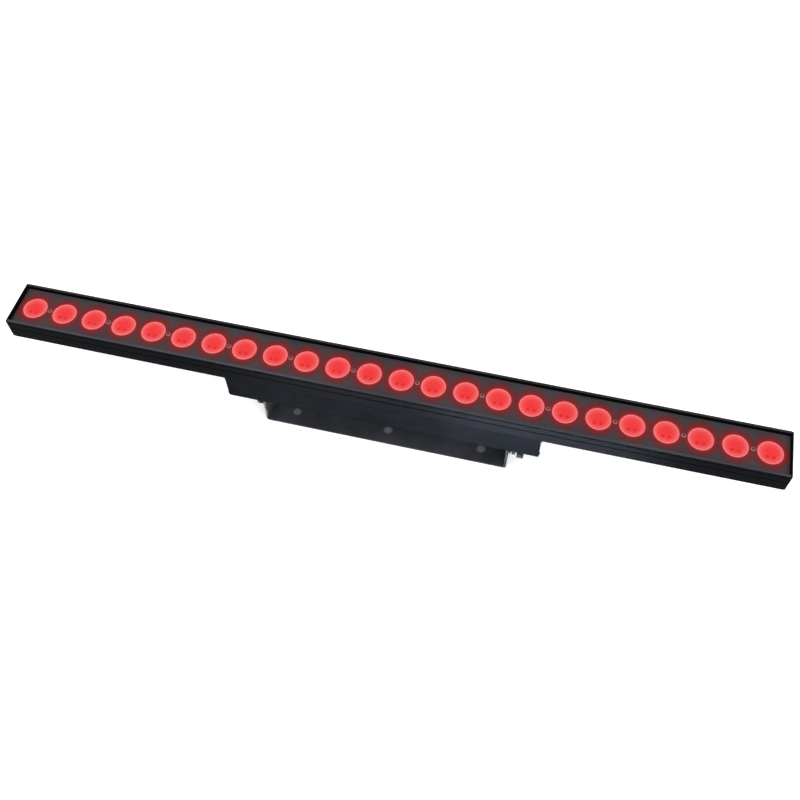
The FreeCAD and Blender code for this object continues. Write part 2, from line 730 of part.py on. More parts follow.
def make_control_board():
    """The control board: a display, four switches and three plug headers."""
    back = "control_back"
    front = "control_front"
    pieces = [block("control_plate", ("-control_half", back, "panel_low + 0.5"),
                    ("control_half", front, "panel_low + 22.5"))]
    pieces.append(block("display", ("display_left", front, "display_low"),
                        ("display_left + display_long", "display_face",
                         "display_low + display_tall")))
    for i in range(4):
        x = button_x(i)
        pieces.append(block("switch", (x + " - switch_half", front, "button_level - switch_half"),
                            (x + " + switch_half", "switch_front",
                             "button_level + switch_half")))
        pieces.append(rod("switch_tip", (x, "switch_front", "button_level"), "+Y",
                          "switch_tip_radius", "switch_tip"))
    # each header's low X, low Z and the depth it stands back from the board
    for low_x, low_z, deep in (("-control_half", 92, 9), ("control_half - 7.5", 92, 9),
                               ("control_half - 6.5", 79, 7)):
        pieces.append(block("plug_header", (low_x, "control_back - %d" % deep, low_z),
                            (low_x + " + 6.5", back, low_z + 6)))
    node(group("control_board", pieces), "control_board")


def make_control_panel():
    """The plate behind the window, with posts for the control board."""
    body = new_body("control_panel")
    sketch = new_sketch(body, "XZ", "-box_inner")
    rectangle(sketch, "-panel_length / 2", "panel_length / 2",
              "panel_low", "panel_low + panel_tall")
    rectangle(sketch, "display_left - 0.1", "display_left + display_long + 0.1",
              "display_low - 0.1", "display_low + display_tall + 0.1")
    for i in range(4):
        circle(sketch, button_x(i), "button_level", "button_radius + button_gap")
    pad(body, sketch, "panel_thick")
    posts = new_sketch(body, "XZ", "-box_inner + panel_thick")
    for x, in both("panel_post_x"):
        for z in ("panel_low + panel_post_inset", "panel_low + panel_tall - panel_post_inset"):
            circle(posts, x, z, "panel_post")
    pad(body, posts, "box_inner - panel_thick - control_front")
    node(body, "control_panel")


def make_button(label, number):
    """A round push button, kept in by a collar behind the panel."""
    x = button_x(number)
    cap = rod(label + "_cap", (x, "button_back", "button_level"), "+Y", "button_radius",
              "button_face - button_back")
    collar = rod(label + "_collar", (x, "collar_back", "button_level"), "+Y",
                 "button_radius + collar_wide",
                 "box_inner - panel_thick - latch_gap - collar_back")
    node(fuse(label, [cap, collar]), label)


def make_wiring():
    """The leads inside the box, and the one that goes up through the bar's deck."""
    socket_back = "half_box - barrel_deep"
    left_back = "-(%s)" % socket_back
    mains_y = "-socket_y"
    # each lead's start, radius and length: they all run along the box
    runs = [
        (left_back, mains_y, "mains_level", "mains_lead", socket_back + " + supply_left"),
        ("supply_right", mains_y, "mains_level", "mains_lead", socket_back + " - supply_right"),
        ("supply_right", "supply_lead_y", "supply_level", "supply_lead",
         "driver_left - supply_right"),
        (left_back, "socket_y", "data_level", "data_lead", socket_back + " - control_half"),
        ("control_half", "socket_y", "data_level", "data_lead", socket_back + " - control_half"),
        ("control_half", "signal_y", "signal_level", "signal_lead",
         "driver_left - control_half"),
    ]
    leads = [rod("lead", (x, y, z), "+X", radius, length) for x, y, z, radius, length in runs]
    top_of_bend = "supply_level + lead_bend"
    along = rod("lamp_lead_along", ("lead_bend", 0, "supply_level"), "+X", "mains_lead",
                "driver_left - lead_bend")
    upward = rod("lamp_lead_up", (0, 0, top_of_bend), "+Z", "mains_lead",
                 "board_top - (%s)" % top_of_bend)
    turn = doc.addObject("Part::Torus", "lamp_lead_bend")
    bind(turn, "Radius1", "lead_bend")
    bind(turn, "Radius2", "mains_lead")
    turn.Angle3 = 90
    # the quarter ring, made flat from +X to +Y, is stood up so that it joins the two runs
    place(turn, "lead_bend", 0, top_of_bend, (0, 1, -1), 180)
    leads.append(fuse("lamp_lead", [along, turn, upward]))
    node(group("wiring_harness", leads), "wiring_harness")


# ---------------------------------------------------------------- the yoke

def make_yoke():
    """The bent steel strap: a base with three clamp holes and two round-topped arms."""
    half = "yoke_width / 2"
    pieces = [block("yoke_base", ("-arm_outer", "-" + half, 0), ("arm_outer", half, "yoke_thick"))]
    for low, high in (("-arm_outer", "-arm_inner"), ("arm_inner", "arm_outer")):
        pieces.append(block("yoke_arm", (low, "-" + half, 0), (high, half, "pivot_level")))
        pieces.append(rod("yoke_arm_top", (low, 0, "pivot_level"), "+X", half, "yoke_thick"))
    strap = fuse("yoke_strap", pieces)
    inner = fillet("yoke_inner_bends", strap, "yoke_bend", lambda edge: runs_along(edge, "y")
                   and at(edge.CenterOfMass.z, "yoke_thick"))
    outer = fillet("yoke_outer_bends", inner, "yoke_bend + yoke_thick - 0.05",
                   lambda edge: runs_along(edge, "y") and at(edge.CenterOfMass.z, 0))
    holes = [rod("clamp_hole", (x, 0, 0), "+Z", "clamp_hole", "yoke_thick")
             for x in ("-clamp_spacing", 0, "clamp_spacing")]
    holes.append(rod("pivot_hole", ("-arm_outer", 0, "pivot_level"), "+X",
                     "bolt_radius + running_gap", "yoke_length"))
    node(cut("yoke_bracket", outer, holes), "yoke_bracket")


def make_pivot_bolts():
    """The two bolts that the bar tilts on, their heads inside the arms."""
    shank = rod("pivot_shank", (0, 0, 0), "+Z", "bolt_radius", "bolt_end - arm_inner")
    head = doc.addObject("Part::Prism", "pivot_head")
    head.Polygon = 6
    bind(head, "Circumradius", "bolt_radius * 1.88")
    bind(head, "Height", "bolt_radius * 1.3")
    place(head, 0, 0, "-bolt_radius * 1.3")
    master = fuse("pivot_bolt", [head, shank])
    places = [("arm_inner", 0, "pivot_level", "+X"), ("-arm_inner", 0, "pivot_level", "-X")]
    node(copies("pivot_bolts", master, places), "pivot_bolts")


def make_washers():
    """Friction washers on both sides of each lug."""
    disc = rod("washer_disc", (0, 0, 0), "+Z", "washer_radius", "washer_thick")
    hole = rod("washer_hole", (0, 0, 0), "+Z", "bolt_radius + 0.3", "washer_thick")
    master = cut("washer", disc, [hole])
    places = []
    for sign, direction in (("", "+X"), ("-", "-X")):
        for start in ("(lug_inner - washer_thick)", "lug_outer"):
            places.append((sign + start, 0, "pivot_level", direction))
    node(copies("friction_washers", master, places), "friction_washers")


def make_lug(label, turn):
    """An angle plate bolted under the box, with the pivot hole in its leg."""
    body = new_body(label, angle=turn)
    sketch = new_sketch(body, "XZ")
    outline(sketch, [
        ("lug_foot", "box_base"), ("lug_foot", "box_base - lug_thick"),
        ("lug_inner", "box_base - lug_thick"), ("lug_inner", "lug_bottom"),
        ("lug_outer", "lug_bottom"), ("lug_outer", "box_base"),
    ])
    pad(body, sketch, "2 * lug_half", symmetric=True)
    pivot = new_sketch(body, "YZ", "lug_outer")
    circle(pivot, 0, "pivot_level", "bolt_radius + running_gap")
    pocket(body, pivot, "lug_thick")
    bolts = new_sketch(body, "XY", "box_base")
    for y, in both("lug_bolt_y"):
        circle(bolts, "lug_bolt_x", y, "lug_bolt_hole")
    drilled = pocket(body, bolts, "lug_thick")
    for expression, wanted in (
        ("lug_corner", lambda edge: runs_along(edge, "x") and at(edge.CenterOfMass.z, "lug_bottom")),
        ("lug_thick + 1", lambda edge: runs_along(edge, "y") and at(edge.CenterOfMass.z, "box_base")
         and at(edge.CenterOfMass.x, "lug_outer")),
    ):
        rounded = body.newObject("PartDesign::Fillet", label + "_round")
        edges = enumerate(drilled.Shape.Edges)
        rounded.Base = (drilled, ["Edge%d" % (i + 1) for i, edge in edges if wanted(edge)])
        bind(rounded, "Radius", expression)
        doc.recompute()
        drilled = rounded
    node(body, label)


def make_lug_bolts():
    """Four bolts through the lugs' feet and the cover, each with its nut."""
    head = rod("lug_bolt_head", (0, 0, 0), "+Z", "lug_bolt_head", "lug_bolt_rise")
    shank = rod("lug_bolt_shank", (0, 0, 0), "-Z", "lug_bolt", "lug_bolt_long")
    bolt = fuse("lug_bolt_solid", [head, shank])
    key = doc.addObject("Part::Prism", "lug_bolt_key")
    key.Polygon = 6
    bind(key, "Circumradius", "lug_bolt * 0.7")
    bind(key, "Height", "lug_bolt_rise - 1")
    place(key, 0, 0, 1)
    sunk = cut("lug_bolt", bolt, [key])
    nut_start = "-lug_thick - box_wall - lug_nut_thick"
    nut = doc.addObject("Part::Prism", "lug_nut")
    nut.Polygon = 6
    bind(nut, "Circumradius", "lug_nut")
    bind(nut, "Height", "lug_nut_thick")
    place(nut, 0, 0, nut_start)
    bore = rod("lug_nut_bore", (0, 0, nut_start), "+Z", "lug_bolt", "lug_nut_thick")
    master = group("lug_bolt_set", [sunk, cut("lug_nut_ring", nut, [bore])])
    level = "box_base - lug_thick"
    places = [(x, y, level, "-Z") for x, y in both("lug_bolt_x", "lug_bolt_y")]
    node(copies("lug_bolts", master, places), "lug_bolts")


def make_knob(label, direction, start, spin):
    """A clamping knob screwed on to the end of its bolt: a fluted disc and a wing.
    spin is how far the wing is turned up from the +Y axis, in degrees."""
    disc = rod(label + "_disc", (0, 0, 0), "+Z", "knob_disc", "knob_disc_thick")
    flutes = [rod(label + "_flute", ("flute_reach * cos(%d deg)" % turn,
                                     "flute_reach * sin(%d deg)" % turn, 0),
                  "+Z", "flute_radius", "knob_disc_thick") for turn in range(15, 360, 30)]
    fluted = cut(label + "_fluted", disc, flutes)
    stem = rod(label + "_stem", (0, 0, 0), "+Z", "knob_boss", "knob_stem")
    tip = "knob_stem + wing_thick"
    bar = [block(label + "_wing", ("-wing_half", "-wing_reach", "knob_stem"),
                 ("wing_half", "wing_reach", tip))]
    for y, in both("wing_reach"):
        bar.append(rod(label + "_wing_end", (0, y, "knob_stem"), "+Z", "wing_half", "wing_thick"))
    wing = fillet(label + "_wing_round", fuse(label + "_wing_bar", bar), "wing_round",
                  lambda edge: at(edge.CenterOfMass.z, tip))
    solid = fuse(label + "_solid", [fluted, stem, wing])
    bore = rod(label + "_bore", (0, 0, 0), "+Z", "bolt_radius + running_gap",
               "bolt_end - knob_start + 0.4")
    knob = cut(label, solid, [bore])
    axis, angle = TO_AXIS[direction]
    turn = FreeCAD.Rotation(FreeCAD.Vector(1, 0, 0), spin)
    turn = turn.multiply(FreeCAD.Rotation(FreeCAD.Vector(*axis), angle))
    place(knob, start, 0, "pivot_level", tuple(turn.Axis), math.degrees(turn.Angle))
    node(knob, label)


# ---------------------------------------------------------------- build and write

def build():
    fill_sheet()
    make_yoke()
    make_pivot_bolts()
    make_knob("knob_left", "-X", "-knob_start", 120)
    make_knob("knob_right", "+X", "knob_start", 30)
    make_washers()
    make_lug("lug_left", 180)
    make_lug("lug_right", 0)
    make_lug_bolts()
    make_rail()
    make_end_plate("end_plate_left", 180)
    make_end_plate("end_plate_right", 0)
    make_casing_screws()
    make_face_plate()
    make_face_screws()
    for number in range(1, int(value("lens_count")) + 1):
        make_lens(number)
    make_led_board("led_board_left", "-half_rail + 1", "-board_gap",
                   "first_lens + lens_pitch / 2", "-5 * screw_step")
    make_led_board("led_board_right", "board_gap", "half_rail - 1",
                   "lens_pitch", "screw_step")
    make_emitters()
    make_board_screws()
    make_housing()
    make_cover()
    make_housing_end("housing_end_left", 180)
    make_housing_end("housing_end_right", 0)
    make_power_supply()
    make_driver_board()
    make_control_board()
    make_control_panel()
    for number, label in enumerate(("button_menu", "button_down", "button_up", "button_enter")):
        make_button(label, number)
    make_power_socket("power_inlet", "-", "-socket_y")
    make_power_socket("power_outlet", "+", "-socket_y")
    make_data_input("data_input", "-", "socket_y")
    make_data_output("data_output", "+", "socket_y")
    make_data_latch()
    make_wiring()
    doc.recompute()


def check():
    """Stops if anything failed to rebuild, or if a sub-part has no sound shape."""
    for thing in doc.Objects:
        if "Invalid" in thing.State or "Error" in thing.State:
            raise RuntimeError("%s is %s" % (thing.Label, thing.State))
    for thing in nodes:
        if thing.Shape.isNull() or not thing.Shape.isValid() or not thing.Shape.Solids:
            raise RuntimeError("%s has no sound shape" % thing.Label)


def write():
    for thing in nodes:
        thing.Shape.exportStep(os.path.join(PARTS_FOLDER, thing.Label + ".step"))
    print("%d sub-parts written" % len(nodes))


build()
check()
write()
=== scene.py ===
"""The looks of a led strip batten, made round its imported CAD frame.

The bar, its driver box and its yoke stay the CAD's own solids, with rounded edges and
worked materials. The lenses, the display's digits, the marks on the buttons and the
sockets' contacts are made here.
"""
from math import cos, pi, radians, sin

import bmesh
import bpy
from mathutils import Matrix, Vector


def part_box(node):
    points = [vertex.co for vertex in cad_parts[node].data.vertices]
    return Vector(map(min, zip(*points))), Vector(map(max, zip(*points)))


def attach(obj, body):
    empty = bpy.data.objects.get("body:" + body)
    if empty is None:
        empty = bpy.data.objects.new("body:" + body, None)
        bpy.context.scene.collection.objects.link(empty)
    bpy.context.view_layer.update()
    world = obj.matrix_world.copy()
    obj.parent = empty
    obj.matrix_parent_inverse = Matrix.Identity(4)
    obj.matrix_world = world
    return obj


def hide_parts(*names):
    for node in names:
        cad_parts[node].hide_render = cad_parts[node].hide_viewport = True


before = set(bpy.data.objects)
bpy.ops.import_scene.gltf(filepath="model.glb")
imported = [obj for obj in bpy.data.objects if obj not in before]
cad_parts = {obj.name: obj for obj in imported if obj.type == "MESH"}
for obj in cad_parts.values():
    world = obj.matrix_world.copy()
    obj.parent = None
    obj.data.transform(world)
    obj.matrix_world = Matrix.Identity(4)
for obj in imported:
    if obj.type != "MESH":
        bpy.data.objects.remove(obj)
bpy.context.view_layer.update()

MM = 0.001

# ---------------------------------------------------------------- measures of the frame


def middle(node):
    """The middle of a CAD node's box, in metres."""
    low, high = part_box(node)
    return (low + high) / 2


LENS_NAMES = sorted(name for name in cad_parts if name.startswith("lens_"))
FIRST_LENS = middle(LENS_NAMES[0]).x
LAST_LENS = middle(LENS_NAMES[-1]).x
LENS_PITCH = (LAST_LENS - FIRST_LENS) / (len(LENS_NAMES) - 1)
FACE_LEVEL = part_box("face_plate")[1].z
RIM_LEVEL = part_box("led_rail")[1].z
LENS_RADIUS = 15.65 * MM
# how far from a lens's axis its red light shows on the face plate
HALO_END = 29 * MM

# ---------------------------------------------------------------- helpers for materials


def linear(red, green, blue):
    """A linear colour from the usual 0 to 255 values."""
    parts = []
    for value in (red, green, blue):
        share = value / 255
        parts.append(share / 12.92 if share <= 0.04045 else ((share + 0.055) / 1.055) ** 2.4)
    return (*parts, 1)


def scaled(colour, factor):
    """A colour made lighter or darker by a factor."""
    return tuple(part * factor for part in colour[:3]) + (1,)


class Paint:
    """One procedural material, built from its own coordinates on the part."""

    def __init__(self, name, **constants):
        self.material = bpy.data.materials.new(name)
        self.material.use_nodes = True
        self.tree = self.material.node_tree
        self.shader = self.tree.nodes["Principled BSDF"]
        place = self.add("ShaderNodeTexCoord")
        self.place = place.outputs["Object"]
        for socket, value in constants.items():
            self.shader.inputs[socket.replace("_", " ")].default_value = value

    def add(self, kind, **settings):
        """A new node with its properties set."""
        made = self.tree.nodes.new(kind)
        for key, value in settings.items():
            setattr(made, key, value)
        return made

    def feed(self, target, value):
        """Links a node's output to an input, or sets the input to a plain value."""
        if isinstance(value, bpy.types.NodeSocket):
            self.tree.links.new(value, target)
        else:
            target.default_value = value

    def set(self, socket, value):
        """Feeds one of the shader's own inputs."""
        self.feed(self.shader.inputs[socket], value)

    def math(self, operation, first, second=0.0, clamp=False):
        """One sum on one or two numbers."""
        made = self.add("ShaderNodeMath", operation=operation, use_clamp=clamp)
        for socket, value in zip(made.inputs, (first, second)):
            self.feed(socket, value)
        return made.outputs[0]

    def axes(self):
        """The part's own X, Y and Z coordinates."""
        split = self.add("ShaderNodeSeparateXYZ")
        self.feed(split.inputs[0], self.place)
        return split.outputs[0], split.outputs[1], split.outputs[2]

    def within(self, low, high):
        """1 inside a box of the part's own coordinates, and 0 outside it."""
        share = 1.0
        for value, start, end in zip(self.axes(), low, high):
            after = self.math("GREATER_THAN", value, start)
            before = self.math("LESS_THAN", value, end)
            share = self.math("MULTIPLY", share, self.math("MULTIPLY", after, before))
        return share

    def zoned(self, colour, zones):
        """A colour with some boxes of the part in colours of their own."""
        for low, high, other in zones:
            colour = self.mix(self.within(low, high), colour, other)
        return colour

    def distance(self, first, second):
        """How far a point is from an axis, from its distances along two others."""
        squares = [self.math("MULTIPLY", side, side) for side in (first, second)]
        return self.math("SQRT", self.math("ADD", *squares))

    def stretched(self, scale):
        """The part's coordinates, scaled differently along X, Y and Z."""
        made = self.add("ShaderNodeMapping", vector_type="POINT")
        self.feed(made.inputs["Vector"], self.place)
        made.inputs["Scale"].default_value = scale
        return made.outputs[0]

    def noise(self, size, detail=2.0, stretch=None, roughness=0.5):
        """Noise whose patches are about size across, in metres."""
        made = self.add("ShaderNodeTexNoise")
        self.feed(made.inputs["Vector"], self.stretched(stretch) if stretch else self.place)
        made.inputs["Scale"].default_value = 1 / size
        made.inputs["Detail"].default_value = detail
        made.inputs["Roughness"].default_value = roughness
        return made.outputs["Fac"]

    def cells(self, size, feature="F1", stretch=None):
        """The distance output of a cell pattern whose cells are about size across."""
        made = self.add("ShaderNodeTexVoronoi", feature=feature)
        self.feed(made.inputs["Vector"], self.stretched(stretch) if stretch else self.place)
        made.inputs["Scale"].default_value = 1 / size
        return made.outputs["Distance"]

    def spread(self, value, low, high, new_low=0.0, new_high=1.0):
        """A number taken from one range to another and held inside it."""
        made = self.add("ShaderNodeMapRange")
        for socket, number in zip(made.inputs, (value, low, high, new_low, new_high)):
            self.feed(socket, number)
        return made.outputs[0]

    def mix(self, share, first, second):
        """Two colours mixed by a share from 0 to 1. The node has sockets for each kind of
        value: its colours are inputs 6 and 7, and output 2."""
        made = self.add("ShaderNodeMix", data_type="RGBA")
        self.feed(made.inputs["Factor"], share)
        self.feed(made.inputs[6], first)
        self.feed(made.inputs[7], second)
        return made.outputs[2]

    def ramp(self, value, stops):
        """A colour that follows a number, from (place, colour) stops."""
        made = self.add("ShaderNodeValToRGB")
        self.feed(made.inputs[0], value)
        bar = made.color_ramp.elements
        for index, (place, colour) in enumerate(stops):
            stop = bar[index] if index < len(bar) else bar.new(place)
            stop.position = place
            stop.color = colour
        return made.outputs[0]

    def raise_by(self, height, depth, below=None):
        """A bump of that depth in metres, on top of an earlier one if given."""
        made = self.add("ShaderNodeBump")
        made.inputs["Strength"].default_value = 1.0
        made.inputs["Distance"].default_value = depth
        self.feed(made.inputs["Height"], height)
        if below is not None:
            self.feed(made.inputs["Normal"], below)
        return made.outputs[0]

    def bump(self, *layers):
        """Bumps from (height, depth) layers, fed to the shader's normal."""
        surface = None
        for height, depth in layers:
            surface = self.raise_by(height, depth, surface)
        self.set("Normal", surface)


def scuffs(paint, size, amount):
    """Fine scratches, as a share from 0 to amount: cell borders broken into short lengths,
    in a few patches."""
    line = paint.cells(size, "DISTANCE_TO_EDGE", stretch=(0.35, 1.0, 1.3))
    thin = paint.spread(line, 0.0, 0.010, 1.0, 0.0)
    patch = paint.spread(paint.noise(size * 1.7, 3), 0.56, 0.72)
    short = paint.spread(paint.noise(size * 0.14, 2), 0.55, 0.62)
    inside = paint.math("MULTIPLY", patch, short)
    return paint.math("MULTIPLY", paint.math("MULTIPLY", thin, inside), amount)


def coat(name, colour, pale_marks, level, rough, highlight_box=None):
    """A sprayed coat: fine orange peel, slow changes of tone and a few light scuffs, and
    inside the highlight box, if there is one, pale patches painted on as a highlight."""
    paint = Paint(name, Specular_IOR_Level=level)
    broad = paint.noise(60 * MM, 3)
    peel = paint.noise(0.9 * MM, 2)
    peel_depth = 0.02 * MM
    tone = paint.mix(paint.spread(broad, 0.35, 0.65), scaled(colour, 0.78), scaled(colour, 1.25))
    tone = paint.mix(scuffs(paint, 34 * MM, 0.5), tone, pale_marks)
    # inside the box, patches of the coat are painted pale beige as a highlight
    if highlight_box:
        painted_highlight = paint.spread(paint.noise(9 * MM, 4, stretch=(3, 3, 1)), 0.40, 0.52)
        tone = paint.mix(paint.math("MULTIPLY", paint.within(*highlight_box), painted_highlight), tone,
                         linear(150, 140, 128))
    paint.set("Base Color", tone)
    fine = paint.spread(peel, 0.3, 0.7, rough - 0.05, rough + 0.05)
    paint.set("Roughness", paint.math("ADD", fine, paint.spread(broad, 0.3, 0.7, -0.03, 0.04)))
    paint.bump((peel, peel_depth), (broad, peel_depth * 2))
    return paint


def metal(name, colour, rough):
    """Bare or plated metal, with a fine grain and stains."""
    paint = Paint(name, Metallic=1.0)
    grain = paint.noise(0.6 * MM, 3)
    stain = paint.noise(7 * MM, 3)
    paint.set("Base Color", paint.mix(paint.spread(stain, 0.35, 0.7), colour,
                                      scaled(colour, 0.6)))
    paint.set("Roughness", paint.spread(grain, 0.3, 0.7, rough * 0.8, rough * 1.25))
    paint.bump((grain, 0.004 * MM))
    return paint


def moulded(name, colour, rough, level=0.35, grain=0.5 * MM, depth=0.012 * MM, zones=()):
    """Moulded plastic: spark-eroded grain and faint flow marks."""
    paint = Paint(name, Specular_IOR_Level=level)
    texture = paint.noise(grain, 2, roughness=0.6)
    flow = paint.noise(11 * MM, 2, stretch=(1, 1, 0.4))
    light = tuple(part * 1.35 + 0.002 for part in colour[:3]) + (1,)
    tone = paint.mix(paint.spread(flow, 0.3, 0.7), colour, light)
    paint.set("Base Color", paint.zoned(tone, zones))
    paint.set("Roughness", paint.spread(texture, 0.3, 0.7, rough - 0.06, rough + 0.06))
    paint.bump((texture, depth))
    return paint


# ---------------------------------------------------------------- the materials


def rail_finish():
    """Black anodised extrusion: die lines along the bar, a cool sheen and a highlight painted
    paler along the rim's top, most of all on the side away from the controls."""
    paint = Paint("rail_anodised", Specular_IOR_Level=0.009,
                  Specular_Tint=(0.78, 0.86, 1.0, 1))
    lines = paint.noise(0.5 * MM, 3, stretch=(0.012, 1, 1), roughness=0.7)
    broad = paint.noise(90 * MM, 2, stretch=(0.5, 1, 1))
    tone = paint.mix(paint.spread(lines, 0.3, 0.7), linear(5, 6, 9), linear(10, 11, 15))
    marks = scuffs(paint, 45 * MM, 0.2)
    _, across, upward = paint.axes()
    # a highlight painted along the top of the rim, stronger on the near side and uneven along
    # the bar, mixed with the scuffs into one pale grey
    edge = paint.spread(upward, RIM_LEVEL - 0.5 * MM, RIM_LEVEL - 0.1 * MM)
    highlight_by_side = paint.spread(across, -1 * MM, 1 * MM, 0.85, 0.42)
    uneven = paint.spread(broad, 0.3, 0.7, 0.75, 1.2)
    painted_highlight = paint.math("MULTIPLY", edge, paint.math("MULTIPLY", highlight_by_side, uneven))
    pale_marks = paint.math("MAXIMUM", marks, painted_highlight)
    paint.set("Base Color", paint.mix(pale_marks, tone, linear(72, 70, 76)))
    paint.set("Roughness", paint.math("ADD", paint.spread(lines, 0.3, 0.7, 0.36, 0.46),
                                      paint.spread(broad, 0.3, 0.7, -0.03, 0.03)))
    paint.bump((lines, 0.006 * MM))
    return paint


def face_finish():
    """The matte coated face plate, lit round every lens by its red light."""
    paint = Paint("face_plate_coat", Specular_IOR_Level=0.15)
    along, across, _ = paint.axes()
    inside = paint.math("MINIMUM", paint.math("MAXIMUM", along, FIRST_LENS), LAST_LENS)
    beyond = paint.math("ABSOLUTE", paint.math("SUBTRACT", along, inside))
    to_lens = paint.math("PINGPONG", paint.math("SUBTRACT", inside, FIRST_LENS), LENS_PITCH / 2)
    radius = paint.distance(paint.math("ADD", to_lens, beyond), across)
    share = paint.spread(radius, LENS_RADIUS, HALO_END)
    glow = paint.ramp(share, [
        (0.0, (0.320, 0.010, 0.010, 1)), (0.14, (0.225, 0.006, 0.006, 1)),
        (0.25, (0.145, 0.003, 0.003, 1)), (0.40, (0.098, 0.001, 0.001, 1)),
        (0.60, (0.051, 0.0005, 0.0005, 1)), (0.80, (0.018, 0, 0, 1)), (1.0, (0, 0, 0, 1)),
    ])
    broad = paint.noise(50 * MM, 3)
    peel = paint.noise(0.8 * MM, 2)
    grey = paint.mix(paint.spread(broad, 0.35, 0.65), linear(50, 48, 52), linear(58, 56, 60))
    paint.set("Base Color", paint.mix(paint.spread(share, 0.12, 0.92, 1.0, 0.0), grey,
                                      linear(30, 14, 15)))
    paint.set("Emission Color", glow)
    paint.set("Emission Strength", 1.0)
    paint.set("Roughness", paint.spread(peel, 0.3, 0.7, 0.62, 0.72))
    paint.bump((peel, 0.02 * MM))
    return paint


def lens_finish():
    """A lit red optic: deep in the middle and paler towards its rim, with the two faint
    dark dies of its emitter."""
    paint = Paint("lens_red", Roughness=0.3, Specular_IOR_Level=0.15, IOR=1.49)
    paint.set("Base Color", (0.12, 0.002, 0.002, 1))
    x, y, _ = paint.axes()
    share = paint.spread(paint.distance(x, y), 0.0, LENS_RADIUS)
    body = paint.ramp(share, [
        (0.0, (0.74, 0.034, 0.038, 1)), (0.42, (0.74, 0.045, 0.048, 1)),
        (0.62, (0.73, 0.060, 0.065, 1)), (0.75, (0.73, 0.096, 0.103, 1)),
        (0.87, (0.73, 0.135, 0.145, 1)), (0.96, (0.77, 0.215, 0.230, 1)),
        (1.0, (0.82, 0.255, 0.275, 1)),
    ])
    die_aside = 3.8 * MM
    die_back = 6.2 * MM
    dies = None
    for side in (-1, 1):
        from_die = paint.distance(paint.math("SUBTRACT", x, side * die_aside),
                                  paint.math("SUBTRACT", y, -die_back))
        spot = paint.spread(from_die, 1.2 * MM, 3.4 * MM, 1.0, 0.0)
        dies = spot if dies is None else paint.math("MAXIMUM", dies, spot)
    cloud = paint.spread(paint.noise(5 * MM, 3), 0.35, 0.7, 0.0, 0.22)
    shade = paint.math("ADD", paint.math("MULTIPLY", dies, 0.75), cloud, clamp=True)
    paint.set("Emission Color", paint.mix(shade, body, (0.58, 0.010, 0.011, 1)))
    paint.set("Emission Strength", 1.0)
    paint.bump((paint.noise(1.3 * MM, 2), 0.006 * MM))
    return paint


def face_screw_finish():
    """The face plate's screws: a highlight ring painted pale round a sunk middle painted
    darker as shade, with the lenses' red light painted on them as a glow.
    """
    paint = Paint("face_screw", Roughness=0.42, Specular_IOR_Level=0.25)
    along, across, _ = paint.axes()
    first = FIRST_LENS + LENS_PITCH / 2
    to_screw = paint.math("PINGPONG", paint.math("SUBTRACT", along, first), LENS_PITCH)
    # the ring is a painted highlight, and the middle inside it is painted darker as shade
    ring = paint.spread(paint.distance(to_screw, across), 1.7 * MM, 2.3 * MM)
    grain = paint.noise(0.5 * MM, 2)
    paint.set("Base Color", paint.mix(ring, linear(52, 40, 42), linear(104, 96, 98)))
    paint.set("Emission Color", paint.mix(ring, (0.085, 0.006, 0.006, 1),
                                          (0.150, 0.020, 0.022, 1)))
    paint.set("Emission Strength", 1.0)
    paint.bump((grain, 0.004 * MM))
    return paint


def board_finish(name, mask, copper, zones=()):
    """A circuit board's solder mask over faint tracks, with its components' own colours."""
    paint = Paint(name, Specular_IOR_Level=0.4)
    tracks = paint.cells(4.5 * MM, "DISTANCE_TO_EDGE", stretch=(1.0, 1.0, 0.2))
    on_track = paint.spread(tracks, 0.06, 0.10, 1.0, 0.0)
    speck = paint.noise(0.8 * MM, 2)
    tone = paint.mix(paint.math("MULTIPLY", on_track, 0.6), mask, copper)
    paint.set("Base Color", paint.zoned(tone, zones))
    paint.set("Roughness", paint.spread(speck, 0.3, 0.7, 0.30, 0.42))
    paint.bump((on_track, 0.03 * MM), (speck, 0.004 * MM))
    return paint


def emitter_finish():
    """A led package: pale all over, and glowing red."""
    paint = Paint("led_package", Roughness=0.3)
    speck = paint.noise(0.7 * MM, 2)
    paint.set("Base Color", paint.mix(speck, linear(238, 222, 205), linear(250, 240, 226)))
    paint.set("Emission Color", paint.mix(speck, (0.9, 0.02, 0.02, 1), (1.0, 0.05, 0.04, 1)))
    paint.set("Emission Strength", 0.8)
    paint.bump((speck, 0.01 * MM))
    return paint


def supply_finish():
    """Galvanised sheet with its spangle."""
    paint = Paint("supply_case", Metallic=0.9)
    spangle = paint.cells(5 * MM)
    paint.set("Base Color", paint.mix(spangle, linear(150, 155, 160), linear(190, 195, 200)))
    paint.set("Roughness", paint.spread(spangle, 0.0, 0.8, 0.28, 0.5))
    paint.bump((spangle, 0.01 * MM))
    return paint


def fibre_finish():
    """Grey vulcanised fibre, with its short strands."""
    paint = Paint("washer_fibre", Specular_IOR_Level=0.2)
    strands = paint.noise(0.5 * MM, 4, stretch=(1, 1, 0.15), roughness=0.7)
    paint.set("Base Color", paint.mix(strands, linear(30, 29, 28), linear(66, 63, 60)))
    paint.set("Roughness", paint.spread(strands, 0.3, 0.7, 0.75, 0.92))
    paint.bump((strands, 0.03 * MM))
    return paint


def digit_finish(name, glow, dark):
    """A display segment, lit or unlit, a little uneven along its length."""
    paint = Paint(name, Roughness=0.3, Specular_IOR_Level=0.3)
    uneven = paint.noise(0.9 * MM, 2)
    paint.set("Base Color", paint.mix(uneven, dark, scaled(dark, 1.4)))
    paint.set("Emission Color", paint.mix(uneven, glow, scaled(glow, 0.7)))
    paint.set("Emission Strength", 1.0)
    return paint


